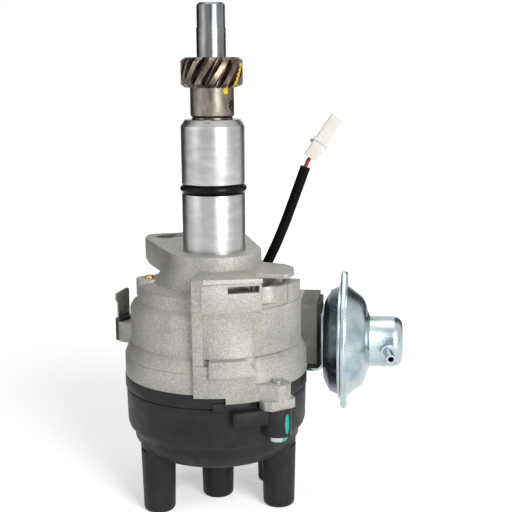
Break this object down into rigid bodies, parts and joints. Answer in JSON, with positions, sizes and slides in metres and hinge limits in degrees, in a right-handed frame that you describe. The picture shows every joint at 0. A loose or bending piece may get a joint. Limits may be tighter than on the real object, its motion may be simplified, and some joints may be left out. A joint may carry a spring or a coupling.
{
  "type": "ignition distributor",
  "caption": "Gear-driven ignition distributor with clamp flange, centrifugal and vacuum advance, magnetic pickup and a screwed-on cap with upright lead towers.",
  "frame": {"origin": "on the drive shaft's axis, in the flange's seating face", "axes": "+Z along the shaft towards the drive gear, +X along the vacuum unit, away from the bell"},
  "size_m": [0.128, 0.0964, 0.2167],
  "materials": {
    "cast_housing": "shot-blasted die casting",
    "turned_steel": "ground bar steel",
    "gear_steel": "oiled machined steel",
    "bronze": "sintered bronze",
    "seal_rubber": "matt rubber",
    "spring_steel": "oiled spring wire",
    "cap_plastic": "moulded cap resin",
    "rotor_plastic": "moulded resin",
    "brass": "turned brass",
    "carbon": "pressed carbon",
    "plated_steel": "zinc plate",
    "vacuum_zinc": "bright zinc plate",
    "copper_coil": "taped coil",
    "gasket_paper": "gasket board",
    "diaphragm_rubber": "coated fabric",
    "sleeve_black": "glossy sleeving",
    "wire_red": "wire insulation",
    "wire_black": "wire insulation",
    "nylon_white": "moulded nylon",
    "insulator_black": "moulded insulator"
  },
  "bodies": {
    "housing": {"housing": "cast_housing", "o_ring": "seal_rubber", "upper_bush": "bronze", "lower_bush": "bronze", "oil_seal": "seal_rubber", "base_plate": "plated_steel", "base_plate_screws": "plated_steel", "plate_clip": "spring_steel", "brush_spring": "spring_steel", "plug_terminals": "brass", "centre_terminal": "brass", "distributor_cap": "cap_plastic", "cap_gasket": "gasket_paper", "cap_screws": "plated_steel", "terminal_insulator": "insulator_black", "terminal_tab": "plated_steel", "terminal_screw": "brass", "shoulder_rivet": "plated_steel", "vacuum_gasket": "gasket_paper", "vacuum_bracket": "vacuum_zinc", "bracket_screw": "plated_steel", "bracket_rivets": "plated_steel", "rear_shell": "vacuum_zinc", "front_shell": "vacuum_zinc", "vacuum_nipple": "plated_steel", "diaphragm": "diaphragm_rubber", "vacuum_spring": "spring_steel", "grommet": "seal_rubber", "lead_sleeve": "sleeve_black", "red_wire": "wire_red", "black_wire": "wire_black", "connector": "nylon_white"},
    "drive_shaft": {"drive_shaft": "turned_steel", "drive_gear": "gear_steel", "gear_pin": "spring_steel", "thrust_washer": "gear_steel", "plate_washer": "plated_steel", "governor_plate": "plated_steel", "weight_clips": "spring_steel", "governor_springs": "spring_steel", "sleeve_screw": "plated_steel"},
    "flyweight_1": {"flyweight_1": "plated_steel"},
    "flyweight_2": {"flyweight_2": "plated_steel"},
    "advance_sleeve": {"cam_sleeve": "turned_steel", "reluctor": "turned_steel", "reluctor_pin": "turned_steel", "rotor_arm": "rotor_plastic", "rotor_contact": "brass"},
    "pickup": {"pickup_plate": "plated_steel", "pickup_core": "turned_steel", "pickup_coil": "copper_coil", "pickup_screws": "plated_steel", "link_pin": "turned_steel"},
    "vacuum_link": {"link_rod": "plated_steel", "diaphragm_cups": "plated_steel"},
    "brush": {"carbon_brush": "carbon"}
  },
  "joints": [
    {"name": "drive_shaft_spin", "type": "hinge", "parent": "housing", "child": "drive_shaft", "pos_m": [0, 0, 0.02], "axis": [0, 0, 1], "continuous": true},
    {"name": "advance_turn", "type": "hinge", "parent": "drive_shaft", "child": "advance_sleeve", "pos_m": [0, 0, -0.03], "axis": [0, 0, 1], "range_deg": [0, 13], "stiffness_Nm_per_rad": 0.2, "deforming": ["governor_springs"]},
    {"name": "flyweight_1_swing", "type": "hinge", "parent": "drive_shaft", "child": "flyweight_1", "pos_m": [0.019, 0, -0.024], "axis": [0, 0, 1], "range_deg": [-13, 0]},
    {"name": "flyweight_2_swing", "type": "hinge", "parent": "drive_shaft", "child": "flyweight_2", "pos_m": [-0.019, 0, -0.024], "axis": [0, 0, 1], "range_deg": [-13, 0]},
    {"name": "pickup_turn", "type": "hinge", "parent": "housing", "child": "pickup", "pos_m": [0, 0, -0.0355], "axis": [0, 0, -1], "range_deg": [0, 10], "stiffness_Nm_per_rad": 0.5},
    {"name": "link_slide", "type": "slide", "parent": "housing", "child": "vacuum_link", "axis": [1, 0, 0], "range_m": [0, 0.00402], "deforming": ["diaphragm", "vacuum_spring"]},
    {"name": "brush_slide", "type": "slide", "parent": "housing", "child": "brush", "axis": [0, 0, -1], "range_m": [0, 0.0015], "stiffness_N_per_m": 200, "deforming": ["brush_spring"]}
  ],
  "couplings": [
    {"joint": "flyweight_1_swing", "follows": "advance_turn", "ratio": -1},
    {"joint": "flyweight_2_swing", "follows": "advance_turn", "ratio": -1},
    {"joint": "link_slide", "follows": "pickup_turn", "m_per_rad": 0.023}
  ]
}
